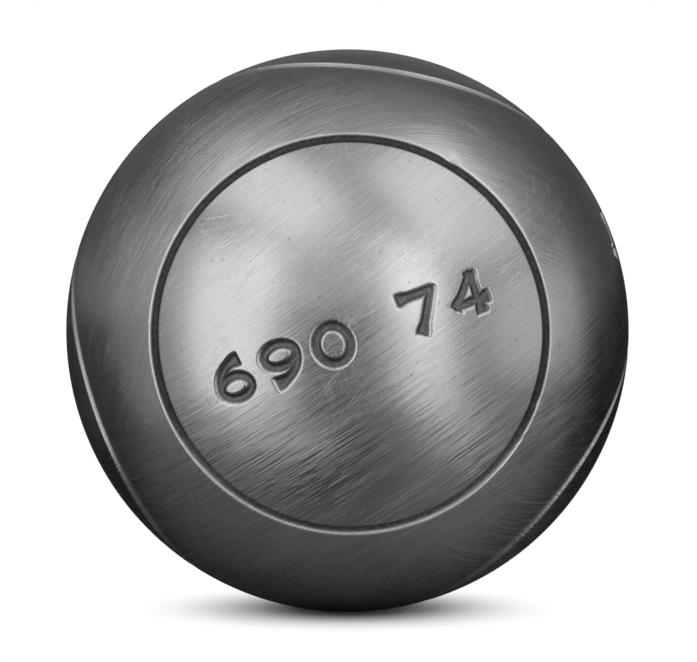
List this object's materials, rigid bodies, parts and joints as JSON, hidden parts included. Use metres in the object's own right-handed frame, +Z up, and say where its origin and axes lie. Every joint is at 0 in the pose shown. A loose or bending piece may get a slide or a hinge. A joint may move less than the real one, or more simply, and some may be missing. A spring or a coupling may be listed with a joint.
{
  "type": "petanque boule",
  "caption": "Hollow steel ball for throwing and rolling games: forged half shells joined by a girth weld, with circular grooves cut round its surface.",
  "frame": {"origin": "centre of the ball", "axes": "+Z up from the point the ball rests on, -Y towards the side with the stamped numbers, +X to the right as that side is seen"},
  "size_m": [0.074, 0.074, 0.074],
  "materials": {
    "shell_steel": "satin",
    "weld_steel": "satin"
  },
  "bodies": {
    "root": {"front_shell": "shell_steel", "rear_shell": "shell_steel", "seam_weld": "weld_steel"}
  },
  "joints": []
}
